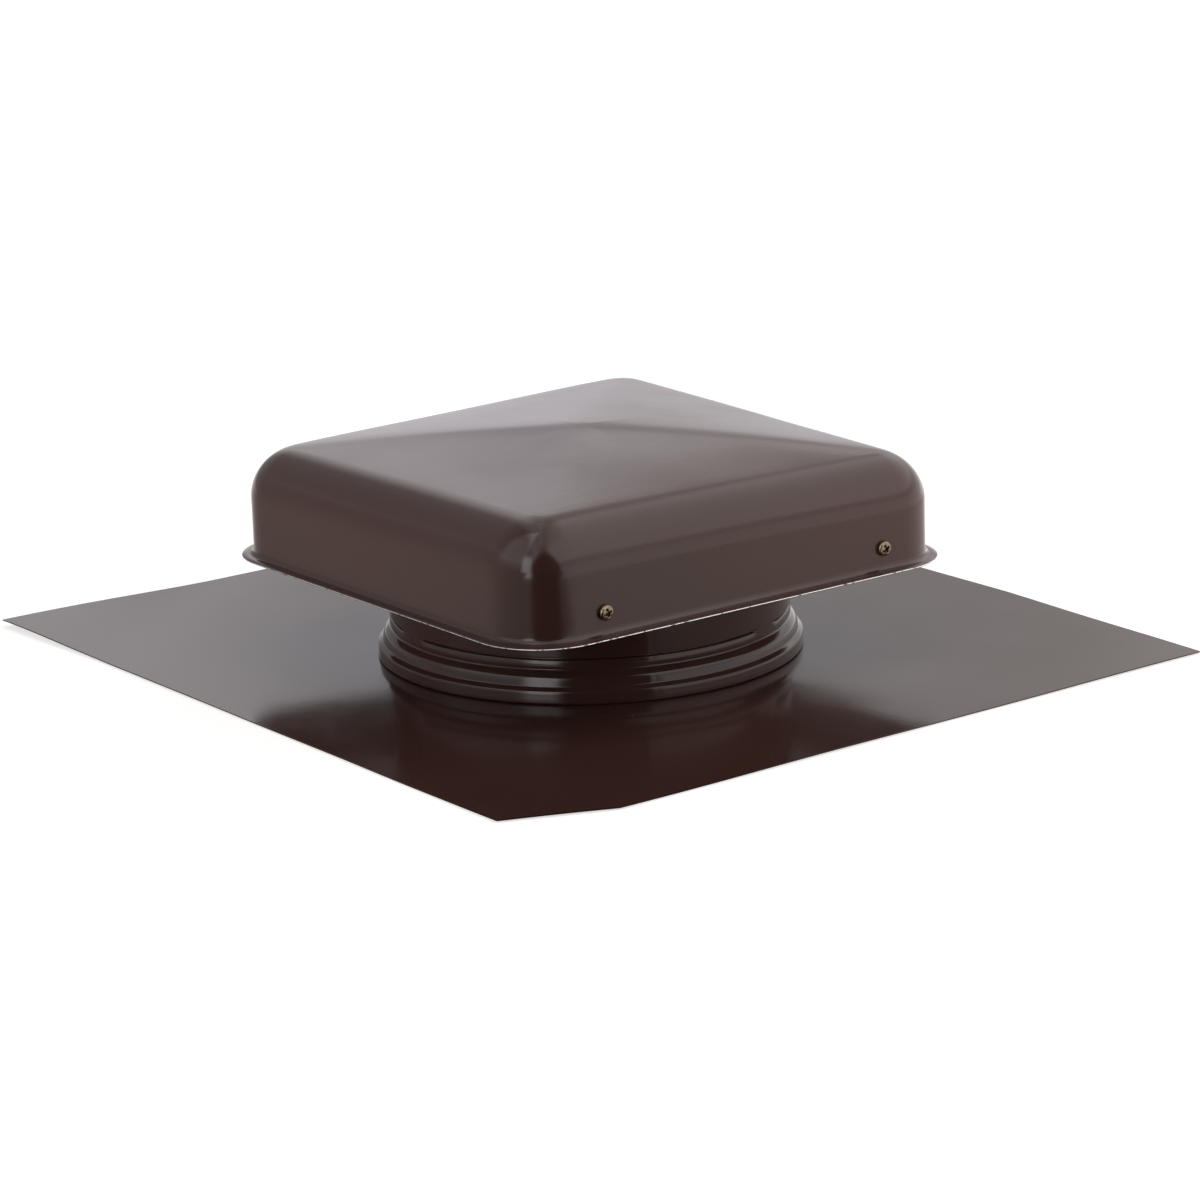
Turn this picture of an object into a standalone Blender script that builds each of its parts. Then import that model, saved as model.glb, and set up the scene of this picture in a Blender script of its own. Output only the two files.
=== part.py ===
"""Static roof vent: a square pressed-steel hood over a round throat on a flashing sheet.

Sizes are in metres and +Z is up. The origin is the middle of the flashing's underside.
The throat's axis is vertical and stands a little off the middle of the sheet.
"""
import math

import bmesh
import bpy
from mathutils import Vector

# Sheet metal and clearances
SHEET = 0.0006
GAP = 0.0003

# Flashing sheet that lies on the roof
FLANGE_X = 0.4213
FLANGE_Y = 0.4616
AXIS_X = -0.0083
AXIS_Y = -0.0084
CLIP_X = 0.0520
CLIP_Y = 0.0220
TRIM_X = 0.0046
TRIM_Y = 0.0034
TRIM_RUN = 0.1500
CURL_RISE = 0.0027
CURL_REACH = 0.0850
NECK_HEIGHT = 0.0265
NECK_BEND = 0.0035
SHEET_SHARES = (0.45, 0.75, 0.88, 1.0)

# Round throat, 8 in across
COLLAR_R = 0.1016
COLLAR_TOP = 0.0640
GROOVE_TOP = 0.0220
GROOVE_HEIGHT = 0.0010
GROOVE_DEPTH = 0.0024
GROOVE_COUNT = 3
GROOVE_LAND_DEG = 9.6
GROOVE_END_DEG = 1.5
GROOVE_FIRST_DEG = 52.5
BAND_SWELL = 0.0007
BAND_LEVEL = 0.0171
WAIST_TUCK = 0.0006
WAIST_LEVEL = 0.0130
CREASE_FLARE = 0.0047
CREASE_LEVEL = 0.0090
FOOT_FLARE = 0.0070
FOOT_LEVEL = 0.0030
FOOT_TUCK = 0.0008
SEAT_WIDTH = 0.0100
SEAT_BEND = 0.0018

# Hood
HOOD_HALF = 0.1296
HOOD_SHIFT_X = -0.0006
HOOD_SHIFT_Y = 0.0005
HOOD_CORNER = 0.0300
HOOD_CLEARANCE = 0.0479
SHOULDER_HEIGHT = 0.0542
SHOULDER_R = 0.0230
APEX_RISE = 0.0140
APEX_SOFT = 0.0140
NEAR_LIFT = 0.0030
FAR_LIFT = 0.0033
LEFT_LIFT = -0.0015
RIGHT_LIFT = -0.0025
LIP_WIDTH = 0.0062
LIP_FALL = 0.0007
LIP_BEND = 0.0028
TOP_CORNER = 0.0030
TOP_SHARES = (0.62, 0.28)

# Insect screen and the ring that clamps it
SCREEN_THICK = 0.0008
SCREEN_PITCH = 0.0156
SCREEN_HOLE = 0.0132
SCREEN_ROWS = 11
SCREEN_MARGIN = 0.0020
RING_THICK = 0.0010

# Straps that carry the hood
STRAP_THICK = 0.0012
STRAP_WIDTH = 0.0220
STRAP_INSET = 0.0159
STRAP_TAB = 0.0130
STRAP_BEND = 0.0018

# Fasteners
BORE_SLACK = 0.0004
DRILL_LENGTH = 0.0160
SCREW_HEIGHT = 0.0122
SCREW_R = 0.0020
SCREW_LENGTH = 0.0120
SCREW_POINT = 0.0040
SCREW_HEAD_R = 0.0040
SCREW_HEAD_HEIGHT = 0.0027
RECESS_REACH = 0.0021
RECESS_WIDTH = 0.0009
RECESS_DEPTH = 0.0012
RIVET_R = 0.0016
RIVET_UPSET_R = 0.0024
RIVET_HEAD_R = 0.0032
RIVET_HEAD_HEIGHT = 0.0012
RIVET_SPREAD_DEG = 62.5

# Fineness of the round forms
ROUND_STEPS = 60
CORNER_STEPS = 7
FASTENER_STEPS = 12
LEAST_STEP = 0.3
SHARP_DEG = 35.0

# Levels and radii that follow from the sizes above
AXIS = Vector((AXIS_X, AXIS_Y, 0.0))
HOOD_MIDDLE = AXIS + Vector((HOOD_SHIFT_X, HOOD_SHIFT_Y, 0.0))
NECK_R = COLLAR_R - SHEET - GROOVE_DEPTH - GAP
SEAT_R = COLLAR_R - SEAT_WIDTH
SCREEN_Z = COLLAR_TOP + GAP
RING_Z = SCREEN_Z + SCREEN_THICK + GAP
STRAP_Z = RING_Z + RING_THICK + GAP
STRAP_HALF = HOOD_HALF - SHEET - GAP
STRAP_OFFSET = COLLAR_R - STRAP_INSET
SCREW_Z = HOOD_CLEARANCE + SCREW_HEIGHT
RIVET_CIRCLE = COLLAR_R - SEAT_WIDTH / 2


def clear_scene():
    """Remove whatever the open scene holds."""
    for obj in list(bpy.data.objects):
        bpy.data.objects.remove(obj, do_unlink=True)


def new_collection(name, hidden=False):
    """A collection of its own, linked to the scene."""
    group = bpy.data.collections.new(name)
    group.hide_render = hidden
    bpy.context.scene.collection.children.link(group)
    return group


def make_material(name, color, roughness, metallic):
    """A Principled material for one sub-part."""
    material = bpy.data.materials.new(name)
    material.use_nodes = True
    shader = material.node_tree.nodes["Principled BSDF"]
    shader.inputs["Base Color"].default_value = (*color, 1.0)
    shader.inputs["Roughness"].default_value = roughness
    shader.inputs["Metallic"].default_value = metallic
    return material


def painted(name):
    """Glossy brown paint on steel."""
    return make_material(name + "_paint", (0.062, 0.040, 0.035), 0.22, 0.0)


def bare_steel(name):
    """Galvanised steel with no paint."""
    return make_material(name + "_steel", (0.52, 0.53, 0.54), 0.38, 1.0)


def plated(name):
    """Yellow-tinted zinc plating."""
    return make_material(name + "_zinc", (0.58, 0.50, 0.38), 0.30, 1.0)


def finish(mesh_data, name, group, material, location=(0.0, 0.0, 0.0)):
    """Turn a bmesh into a named object that is shaded smooth."""
    bmesh.ops.recalc_face_normals(mesh_data, faces=mesh_data.faces)
    mesh = bpy.data.meshes.new(name)
    mesh_data.to_mesh(mesh)
    mesh_data.free()
    mesh.shade_smooth()
    mesh.set_sharp_from_angle(angle=math.radians(SHARP_DEG))
    obj = bpy.data.objects.new(name, mesh)
    obj.location = location
    obj.data.materials.append(material)
    group.objects.link(obj)
    return obj


def thicken(obj, thickness, offset):
    """Give an open sheet its thickness."""
    solid = obj.modifiers.new("Sheet", "SOLIDIFY")
    solid.thickness = thickness
    solid.offset = offset
    solid.use_even_offset = False


def cut(obj, cutter):
    """Take the cutter's shape out of an object."""
    boolean = obj.modifiers.new("Cut", "BOOLEAN")
    boolean.operation = "DIFFERENCE"
    boolean.solver = "EXACT"
    boolean.object = cutter


def add_ring(mesh_data, points):
    """Add one closed ring of points."""
    return [mesh_data.verts.new(point) for point in points]


def bridge(mesh_data, lower, upper):
    """Join two rings of the same number of points with quads."""
    count = len(lower)
    for i in range(count):
        j = (i + 1) % count
        mesh_data.faces.new((lower[i], lower[j], upper[j], upper[i]))


def loft(mesh_data, rings):
    """Skin a list of rings and return their vertices."""
    loops = [add_ring(mesh_data, ring) for ring in rings]
    for lower, upper in zip(loops, loops[1:]):
        bridge(mesh_data, lower, upper)
    return loops


def arc(center, radius, start_deg, end_deg, steps):
    """Points of an arc in a plane, both ends included."""
    points = []
    for i in range(steps + 1):
        angle = math.radians(start_deg + (end_deg - start_deg) * i / steps)
        points.append((center[0] + radius * math.cos(angle), center[1] + radius * math.sin(angle)))
    return points


def circle(radius, height, angles):
    """A ring round the vertical axis."""
    return [Vector((radius * math.cos(a), radius * math.sin(a), height)) for a in angles]


def even_angles(count=ROUND_STEPS):
    """Evenly spaced angles of one turn."""
    return [2.0 * math.pi * i / count for i in range(count)]


def drill(name, group, radius, location, direction):
    """A round cutter along a direction, centred on a place."""
    bpy.ops.mesh.primitive_cylinder_add(vertices=FASTENER_STEPS, radius=radius, depth=DRILL_LENGTH)
    cutter = bpy.context.object
    cutter.name = name
    cutter.location = location
    cutter.rotation_euler = Vector(direction).to_track_quat("Z", "Y").to_euler()
    cutter.display_type = "WIRE"
    cutter.hide_render = True
    for owner in list(cutter.users_collection):
        owner.objects.unlink(cutter)
    group.objects.link(cutter)
    return cutter


def flange_corners():
    """The sheet's outline seen from above, one corner clipped and the next a little short."""
    half_x = FLANGE_X / 2
    half_y = FLANGE_Y / 2
    return [
        Vector((-half_x + CLIP_X, -half_y)),
        Vector((half_x - TRIM_X, -half_y + TRIM_Y)),
        Vector((half_x, -half_y + TRIM_RUN)),
        Vector((half_x, half_y)),
        Vector((-half_x, half_y)),
        Vector((-half_x, -half_y + CLIP_Y)),
    ]


def reach_of_edge(angle, corners):
    """Distance from the throat's axis to the sheet's edge along a ray."""
    ray = Vector((math.cos(angle), math.sin(angle)))
    best = math.inf
    for i, start in enumerate(corners):
        a = start - AXIS.xy
        side = corners[(i + 1) % len(corners)] - start
        cross = ray.x * side.y - ray.y * side.x
        if abs(cross) < 1e-12:
            continue
        distance = (a.x * side.y - a.y * side.x) / cross
        along = (a.x * ray.y - a.y * ray.x) / cross
        if distance > 0.0 and -1e-4 <= along <= 1.0001:
            best = min(best, distance)
    return best


def curl_height(x, y):
    """How far the sheet's curled corner lifts off the roof."""
    tip = Vector((-FLANGE_X / 2 - AXIS_X, FLANGE_Y / 2 - AXIS_Y))
    diagonal = tip.normalized()
    behind = (tip - Vector((x, y))).dot(diagonal)
    share = max(0.0, 1.0 - behind / CURL_REACH)
    return CURL_RISE * share * share


def build_flange(group):
    """Flat flashing sheet with a neck turned up round its hole."""
    corners = flange_corners()
    corner_angles = [math.atan2(c.y - AXIS_Y, c.x - AXIS_X) % (2 * math.pi) for c in corners]
    spacing = 2.0 * math.pi / ROUND_STEPS
    angles = [a for a in even_angles() if min(abs(a - c) for c in corner_angles) > LEAST_STEP * spacing]
    angles = sorted(angles + corner_angles)
    inner = NECK_R - SHEET
    profile = [(inner, NECK_HEIGHT)]
    profile += arc((inner + NECK_BEND, NECK_BEND), NECK_BEND, 180.0, 270.0, 4)
    rings = [circle(radius, height, angles) for radius, height in profile]
    start = inner + NECK_BEND
    for share in SHEET_SHARES:
        ring = []
        for angle in angles:
            radius = start + (reach_of_edge(angle, corners) - start) * share
            x = radius * math.cos(angle)
            y = radius * math.sin(angle)
            ring.append(Vector((x, y, curl_height(x, y))))
        rings.append(ring)
    mesh_data = bmesh.new()
    loft(mesh_data, rings)
    name = "base_flange"
    obj = finish(mesh_data, name, group, painted(name), AXIS)
    up = sum((p.normal.z for p in obj.data.polygons), 0.0) > 0.0
    thicken(obj, SHEET, 1.0 if up else -1.0)
    return obj


def groove_share(angle):
    """1 along the pressed arcs, 0 on the short lands between them."""
    pitch = 360.0 / GROOVE_COUNT
    offset = (math.degrees(angle) - GROOVE_FIRST_DEG + pitch / 2) % pitch - pitch / 2
    inside = (abs(offset) - GROOVE_LAND_DEG / 2) / GROOVE_END_DEG
    return min(1.0, max(0.0, inside))


def collar_angles():
    """Even angles of one turn, with those where each pressed arc starts and ends."""
    ends = []
    for i in range(GROOVE_COUNT):
        land = GROOVE_FIRST_DEG + 360.0 * i / GROOVE_COUNT
        for away in (GROOVE_LAND_DEG / 2, GROOVE_LAND_DEG / 2 + GROOVE_END_DEG):
            ends += [math.radians((land - away) % 360.0), math.radians((land + away) % 360.0)]
    spacing = 2.0 * math.pi / ROUND_STEPS
    kept = [a for a in even_angles() if min(abs(a - e) for e in ends) > LEAST_STEP * spacing]
    return sorted(kept + ends)


def collar_profile():
    """Outer side of the throat from its seat down to its foot: radius, height, groove share."""
    bend = arc((COLLAR_R - SEAT_BEND, COLLAR_TOP - SEAT_BEND), SEAT_BEND, 90.0, 0.0, 3)
    profile = [(SEAT_R, COLLAR_TOP, 0.0)]
    profile += [(radius, height, 0.0) for radius, height in bend]
    # Pressed slit, and the band that swells under it
    profile += [
        (COLLAR_R, GROOVE_TOP, 0.0),
        (COLLAR_R, GROOVE_TOP - SHEET / 4, 1.0),
        (COLLAR_R, GROOVE_TOP - GROOVE_HEIGHT, 1.0),
        (COLLAR_R, GROOVE_TOP - GROOVE_HEIGHT - SHEET / 2, 0.3),
        (COLLAR_R + BAND_SWELL, BAND_LEVEL, 0.0),
    ]
    # Waist, sloping ledge, crease and the skirt that stands on the sheet
    profile += [
        (COLLAR_R - WAIST_TUCK, WAIST_LEVEL, 0.0),
        (COLLAR_R, WAIST_LEVEL - SHEET, 0.0),
        (COLLAR_R + CREASE_FLARE, CREASE_LEVEL, 0.0),
        (COLLAR_R + (CREASE_FLARE + FOOT_FLARE) / 2, (CREASE_LEVEL + FOOT_LEVEL) / 2, 0.0),
        (COLLAR_R + FOOT_FLARE, FOOT_LEVEL, 0.0),
        (COLLAR_R + FOOT_FLARE - FOOT_TUCK, SHEET + GAP, 0.0),
    ]
    return profile


def build_collar(group):
    """Rolled throat with a stepped foot, three pressed arcs and a seat at the top."""
    mesh_data = bmesh.new()
    rings = []
    angles = collar_angles()
    for radius, height, share in collar_profile():
        ring = []
        for angle in angles:
            r = radius - GROOVE_DEPTH * share * groove_share(angle)
            ring.append(Vector((r * math.cos(angle), r * math.sin(angle), height)))
        rings.append(ring)
    loft(mesh_data, rings)
    name = "collar"
    obj = finish(mesh_data, name, group, painted(name), AXIS)
    outward = sum((p.normal.dot(Vector((p.center.x, p.center.y, 0.0))) for p in obj.data.polygons), 0.0)
    thicken(obj, SHEET, -1.0 if outward > 0.0 else 1.0)
    return obj


def rounded_square(half, corner, steps=CORNER_STEPS):
    """Outline of a square with round corners, counter-clockwise."""
    points = []
    for quarter in range(4):
        turn = math.radians(90.0 * quarter)
        for x, y in arc((half - corner, half - corner), corner, 0.0, 90.0, steps):
            points.append(Vector((x * math.cos(turn) - y * math.sin(turn),
                                  x * math.sin(turn) + y * math.cos(turn))))
    return points


def corner_lift(x, y):
    """What the four corners' unevenness adds to the height of the top at a place."""
    u = x / HOOD_HALF
    v = y / HOOD_HALF
    lifts = ((NEAR_LIFT, -1.0, -1.0), (FAR_LIFT, 1.0, 1.0), (LEFT_LIFT, -1.0, 1.0), (RIGHT_LIFT, 1.0, -1.0))
    return sum(lift * (1.0 + a * u) * (1.0 + b * v) / 4 for lift, a, b in lifts)


def top_level(x, y):
    """Height of the hood's four sloping panels, with the apex rounded off."""
    away = max(abs(x), abs(y))
    soft = math.hypot(away, APEX_SOFT)
    full = math.hypot(HOOD_HALF, APEX_SOFT)
    slope = APEX_RISE * (1.0 - soft / full)
    return HOOD_CLEARANCE + SHOULDER_HEIGHT + slope + corner_lift(x, y)


def hood_rings():
    """Outer side of the hood from its lip up to the last ring below the apex."""
    low = HOOD_CLEARANCE + SHEET
    outlines = [(HOOD_HALF + LIP_WIDTH, HOOD_CORNER + LIP_WIDTH, low)]
    for out, rise in arc((LIP_BEND, LIP_BEND), LIP_BEND, 270.0, 180.0, 3):
        outlines.append((HOOD_HALF + out, HOOD_CORNER + out, low + LIP_FALL + rise))
    rings = []
    for half, corner, height in outlines:
        rings.append([Vector((p.x, p.y, height)) for p in rounded_square(half, corner)])
    for inset, fall in arc((SHOULDER_R, -SHOULDER_R), SHOULDER_R, 180.0, 90.0, 6):
        corner = max(HOOD_CORNER - inset, TOP_CORNER)
        ring = []
        for p in rounded_square(HOOD_HALF - inset, corner):
            ring.append(Vector((p.x, p.y, top_level(p.x, p.y) + fall)))
        rings.append(ring)
    reach = HOOD_HALF - SHOULDER_R
    for share in TOP_SHARES:
        ring = []
        for p in rounded_square(reach * share, TOP_CORNER * share):
            ring.append(Vector((p.x, p.y, top_level(p.x, p.y))))
        rings.append(ring)
    return rings


def screw_places():
    """Where the hood's screws pass its walls, with the way each points inwards."""
    places = []
    for side in (-1.0, 1.0):
        for across in (-1.0, 1.0):
            place = HOOD_MIDDLE + Vector((across * STRAP_OFFSET, side * HOOD_HALF, SCREW_Z))
            places.append((place, Vector((0.0, -side, 0.0))))
    return places


def build_hood(group, cutters):
    """Pressed cap with a lip, drilled for four screws."""
    mesh_data = bmesh.new()
    loops = loft(mesh_data, hood_rings())
    apex = mesh_data.verts.new((0.0, 0.0, top_level(0.0, 0.0)))
    last = loops[-1]
    for i, vert in enumerate(last):
        mesh_data.faces.new((vert, last[(i + 1) % len(last)], apex))
    name = "hood"
    obj = finish(mesh_data, name, group, painted(name), HOOD_MIDDLE)
    up = sum((p.normal.z * p.area for p in obj.data.polygons), 0.0) > 0.0
    thicken(obj, SHEET, -1.0 if up else 1.0)
    for i, (place, inward) in enumerate(screw_places(), 1):
        cutter = drill("hood_hole_%d" % i, cutters, SCREW_R + BORE_SLACK, place, inward)
        cut(obj, cutter)
    return obj


def rivet_places():
    """Rivets through the clamping ring, with the level that each head sits on."""
    across = math.sqrt(RIVET_CIRCLE ** 2 - STRAP_OFFSET ** 2)
    places = []
    for x in (-STRAP_OFFSET, STRAP_OFFSET):
        for y in (-across, across):
            places.append((AXIS + Vector((x, y, 0.0)), STRAP_Z + STRAP_THICK))
    spread = math.radians(RIVET_SPREAD_DEG)
    for angle in (spread, math.pi - spread, math.pi + spread, -spread):
        place = AXIS + RIVET_CIRCLE * Vector((math.cos(angle), math.sin(angle), 0.0))
        places.append((place, RING_Z + RING_THICK))
    return places


def build_strap(name, x, group):
    """Bracket strap with a tab bent down at each end."""
    top = STRAP_Z + STRAP_THICK
    outline = [(-STRAP_HALF, top - STRAP_TAB)]
    outline += arc((-STRAP_HALF + STRAP_BEND, top - STRAP_BEND), STRAP_BEND, 180.0, 90.0, 3)
    outline += arc((STRAP_HALF - STRAP_BEND, top - STRAP_BEND), STRAP_BEND, 90.0, 0.0, 3)
    outline.append((STRAP_HALF, top - STRAP_TAB))
    mesh_data = bmesh.new()
    left = [mesh_data.verts.new((-STRAP_WIDTH / 2, y, z)) for y, z in outline]
    right = [mesh_data.verts.new((STRAP_WIDTH / 2, y, z)) for y, z in outline]
    for i in range(len(outline) - 1):
        mesh_data.faces.new((left[i], left[i + 1], right[i + 1], right[i]))
    obj = finish(mesh_data, name, group, bare_steel(name), HOOD_MIDDLE + Vector((x, 0.0, 0.0)))
    up = sum((p.normal.z * p.area for p in obj.data.polygons), 0.0) > 0.0
    thicken(obj, STRAP_THICK, -1.0 if up else 1.0)
    return obj


def screen_cutter(cutters):
    """The grid of openings in the screen, as one cutter."""
    mesh_data = bmesh.new()
    clear = SEAT_R - SCREEN_MARGIN
    for row in range(SCREEN_ROWS):
        for column in range(SCREEN_ROWS):
            x = (column - (SCREEN_ROWS - 1) / 2) * SCREEN_PITCH
            y = (row - (SCREEN_ROWS - 1) / 2) * SCREEN_PITCH
            if math.hypot(abs(x) + SCREEN_HOLE / 2, abs(y) + SCREEN_HOLE / 2) > clear:
                continue
            made = bmesh.ops.create_cube(mesh_data, size=1.0)
            bmesh.ops.scale(mesh_data, vec=(SCREEN_HOLE, SCREEN_HOLE, 4 * SCREEN_THICK), verts=made["verts"])
            bmesh.ops.translate(mesh_data, vec=(x, y, SCREEN_THICK / 2), verts=made["verts"])
    mesh = bpy.data.meshes.new("screen_openings")
    mesh_data.to_mesh(mesh)
    mesh_data.free()
    cutter = bpy.data.objects.new("screen_openings", mesh)
    cutter.location = AXIS + Vector((0.0, 0.0, SCREEN_Z))
    cutter.display_type = "WIRE"
    cutter.hide_render = True
    cutters.objects.link(cutter)
    return cutter


def build_screen(group, cutters):
    """Screen disc that lies on the throat's seat."""
    radius = COLLAR_R - SEAT_BEND
    bpy.ops.mesh.primitive_cylinder_add(vertices=ROUND_STEPS, radius=radius, depth=SCREEN_THICK)
    obj = bpy.context.object
    obj.name = "insect_screen"
    obj.location = AXIS + Vector((0.0, 0.0, SCREEN_Z + SCREEN_THICK / 2))
    obj.data.materials.append(bare_steel("insect_screen"))
    for owner in list(obj.users_collection):
        owner.objects.unlink(obj)
    group.objects.link(obj)
    cut(obj, screen_cutter(cutters))
    return obj


def turned(name, profile, steps, group, material, location, closed=False):
    """A solid of revolution: a profile of radius and height, turned round the local Z axis."""
    mesh_data = bmesh.new()
    verts = [mesh_data.verts.new((radius, 0.0, height)) for radius, height in profile]
    for start, end in zip(verts, verts[1:]):
        mesh_data.edges.new((start, end))
    if closed:
        mesh_data.edges.new((verts[-1], verts[0]))
    obj = finish(mesh_data, name, group, material, location)
    turn = obj.modifiers.new("Turn", "SCREW")
    turn.axis = "Z"
    turn.angle = 2.0 * math.pi
    turn.steps = steps
    turn.render_steps = steps
    turn.use_merge_vertices = True
    turn.merge_threshold = 0.00001
    return obj


def build_screen_ring(group):
    """Flat ring that clamps the screen's edge on the seat."""
    outer = COLLAR_R - SEAT_BEND
    profile = [(outer, RING_THICK), (outer, 0.0), (SEAT_R, 0.0), (SEAT_R, RING_THICK)]
    name = "screen_ring"
    place = AXIS + Vector((0.0, 0.0, RING_Z))
    return turned(name, profile, ROUND_STEPS, group, bare_steel(name), place, closed=True)


def build_screw(name, place, inward, group, cutters):
    """Pan-head tapping screw with a cross recess and a pointed shank."""
    head = SCREW_HEAD_HEIGHT
    profile = [
        (0.0, GAP + head),
        (0.40 * SCREW_HEAD_R, GAP + head),
        (0.80 * SCREW_HEAD_R, GAP + 0.86 * head),
        (SCREW_HEAD_R, GAP + 0.45 * head),
        (SCREW_HEAD_R, GAP),
        (SCREW_R, GAP),
        (SCREW_R, SCREW_POINT - SCREW_LENGTH),
        (0.0, -SCREW_LENGTH),
    ]
    obj = turned(name, profile, FASTENER_STEPS, group, plated(name), place)
    obj.rotation_euler = (-inward).to_track_quat("Z", "Y").to_euler()
    for arm, size in (("a", (2.0 * RECESS_REACH, RECESS_WIDTH)), ("b", (RECESS_WIDTH, 2.0 * RECESS_REACH))):
        bpy.ops.mesh.primitive_cube_add(size=1.0)
        cutter = bpy.context.object
        cutter.name = "%s_recess_%s" % (name, arm)
        cutter.scale = (*size, 2.0 * RECESS_DEPTH)
        cutter.rotation_euler = obj.rotation_euler
        cutter.location = place - inward * (GAP + head)
        cutter.display_type = "WIRE"
        cutter.hide_render = True
        for owner in list(cutter.users_collection):
            owner.objects.unlink(cutter)
        cutters.objects.link(cutter)
        cut(obj, cutter)
    return obj


def build_rivet(name, place, level, group):
    """Domed rivet from the level that its head sits on to below the seat."""
    bottom = COLLAR_TOP - SHEET - GAP
    profile = []
    for cosine, sine in arc((0.0, 0.0), 1.0, 90.0, 0.0, 3):
        profile.append((RIVET_HEAD_R * max(0.0, cosine), level + GAP + RIVET_HEAD_HEIGHT * sine))
    profile[0] = (0.0, level + GAP + RIVET_HEAD_HEIGHT)
    profile += [
        (RIVET_R, level + GAP),
        (RIVET_R, bottom),
        (RIVET_UPSET_R, bottom),
        (RIVET_UPSET_R, bottom - RIVET_HEAD_HEIGHT),
        (0.0, bottom - RIVET_HEAD_HEIGHT),
    ]
    return turned(name, profile, FASTENER_STEPS, group, bare_steel(name), place)


def main():
    clear_scene()
    group = new_collection("static_roof_vent")
    cutters = new_collection("cutters", hidden=True)
    build_flange(group)
    collar = build_collar(group)
    build_hood(group, cutters)
    screen = build_screen(group, cutters)
    ring = build_screen_ring(group)
    straps = {
        -1.0: build_strap("strap_left", -STRAP_OFFSET, group),
        1.0: build_strap("strap_right", STRAP_OFFSET, group),
    }
    for i, (place, inward) in enumerate(screw_places(), 1):
        build_screw("hood_screw_%d" % i, place, inward, group, cutters)
        side = 1.0 if place.x > AXIS_X else -1.0
        hole = drill("tab_hole_%d" % i, cutters, SCREW_R + BORE_SLACK, place, inward)
        cut(straps[side], hole)
    for i, (place, level) in enumerate(rivet_places(), 1):
        build_rivet("rivet_%d" % i, place, level, group)
        middle = place + Vector((0.0, 0.0, COLLAR_TOP))
        hole = drill("rivet_hole_%d" % i, cutters, RIVET_R + BORE_SLACK, middle, (0.0, 0.0, 1.0))
        for sheet in (collar, screen, ring):
            cut(sheet, hole)
        if level > RING_Z + RING_THICK:
            cut(straps[1.0 if place.x > AXIS_X else -1.0], hole)


main()
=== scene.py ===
import math

import bmesh
import bpy
from mathutils import Matrix, Vector, noise


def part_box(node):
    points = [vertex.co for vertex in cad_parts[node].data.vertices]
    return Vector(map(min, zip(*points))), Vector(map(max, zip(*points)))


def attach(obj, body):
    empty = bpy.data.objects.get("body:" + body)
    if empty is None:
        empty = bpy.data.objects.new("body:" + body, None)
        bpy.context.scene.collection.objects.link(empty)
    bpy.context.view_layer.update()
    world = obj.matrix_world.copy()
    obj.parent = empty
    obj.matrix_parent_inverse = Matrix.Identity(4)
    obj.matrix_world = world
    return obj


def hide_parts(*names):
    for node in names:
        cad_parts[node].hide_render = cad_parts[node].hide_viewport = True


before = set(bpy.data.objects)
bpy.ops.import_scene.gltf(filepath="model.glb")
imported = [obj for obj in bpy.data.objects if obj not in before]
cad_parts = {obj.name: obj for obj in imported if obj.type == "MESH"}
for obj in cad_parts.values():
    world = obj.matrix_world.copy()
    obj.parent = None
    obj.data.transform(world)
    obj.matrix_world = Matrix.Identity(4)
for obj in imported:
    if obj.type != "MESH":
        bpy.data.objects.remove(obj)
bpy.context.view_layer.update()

# Looks of a static roof vent: brown enamelled sheet steel over a round throat.
# Everything is in metres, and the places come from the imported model.
MM = 0.001

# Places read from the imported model
HOOD_LOW, HOOD_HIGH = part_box("hood")
THROAT_LOW, THROAT_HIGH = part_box("collar")
SHEET_LOW, SHEET_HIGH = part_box("base_flange")
SCREEN_LOW, SCREEN_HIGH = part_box("insect_screen")
RING_LOW, RING_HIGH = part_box("screen_ring")
AXIS = Vector(((THROAT_LOW.x + THROAT_HIGH.x) / 2, (THROAT_LOW.y + THROAT_HIGH.y) / 2, 0.0))

# Sheet steel
GAUGE = 0.6 * MM

# Hood
LIP_HALF = (HOOD_HIGH.x - HOOD_LOW.x) / 2
LIP_WIDTH = 6.2 * MM
LIP_FALL = 0.7 * MM
HOOD_HALF = LIP_HALF - LIP_WIDTH
HOOD_CORNER = 30.0 * MM
RIM_Z = HOOD_LOW.z
ROOT_BEND = 3.0 * MM
EDGE_SLANT = 0.22 * MM
SHOULDER = 23.0 * MM
SHOULDER_Z = RIM_Z + 54.2 * MM
TOP_CORNER = 7.0 * MM
APEX_RISE = 14.0 * MM
RIDGE_SOFT = 14.0 * MM
APEX_SOFT = 14.0 * MM
# The panels droop a little from here to there, as shares of the hood's half width
PANEL_DROOP = 0.6 * MM
DROOP_FROM = 0.45
DROOP_SPAN = 0.37
# The pressing sits a little off the throat's axis, and its corners stand at different heights
HOOD_MIDDLE = Vector(((HOOD_LOW.x + HOOD_HIGH.x) / 2, (HOOD_LOW.y + HOOD_HIGH.y) / 2, 0.0))
NEAR_LIFT = 3.0 * MM
FAR_LIFT = 3.3 * MM
LEFT_LIFT = -1.5 * MM
RIGHT_LIFT = -2.5 * MM
PANEL_WAVE = 0.3 * MM
PANEL_WAVES_PER_M = 14.0

# Throat
THROAT_R = 101.6 * MM
THROAT_TOP = THROAT_HIGH.z
FOOT_Z = THROAT_LOW.z
SEAT_WIDTH = 10.0 * MM
SEAT_BEND = 1.8 * MM
GROOVE_Z = 22.0 * MM
GROOVE_DEPTH = 2.4 * MM
GROOVE_FIRST_DEG = 52.5
GROOVE_SPACING_DEG = 120.0
GROOVE_LAND_DEG = 10.8
# A groove starts this far inside the land's end and is full this far past it
GROOVE_START_DEG = 0.4
GROOVE_FULL_DEG = 1.1
SEAM_DEG = -109.5
SEAM_STEP = 0.12 * MM

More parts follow.
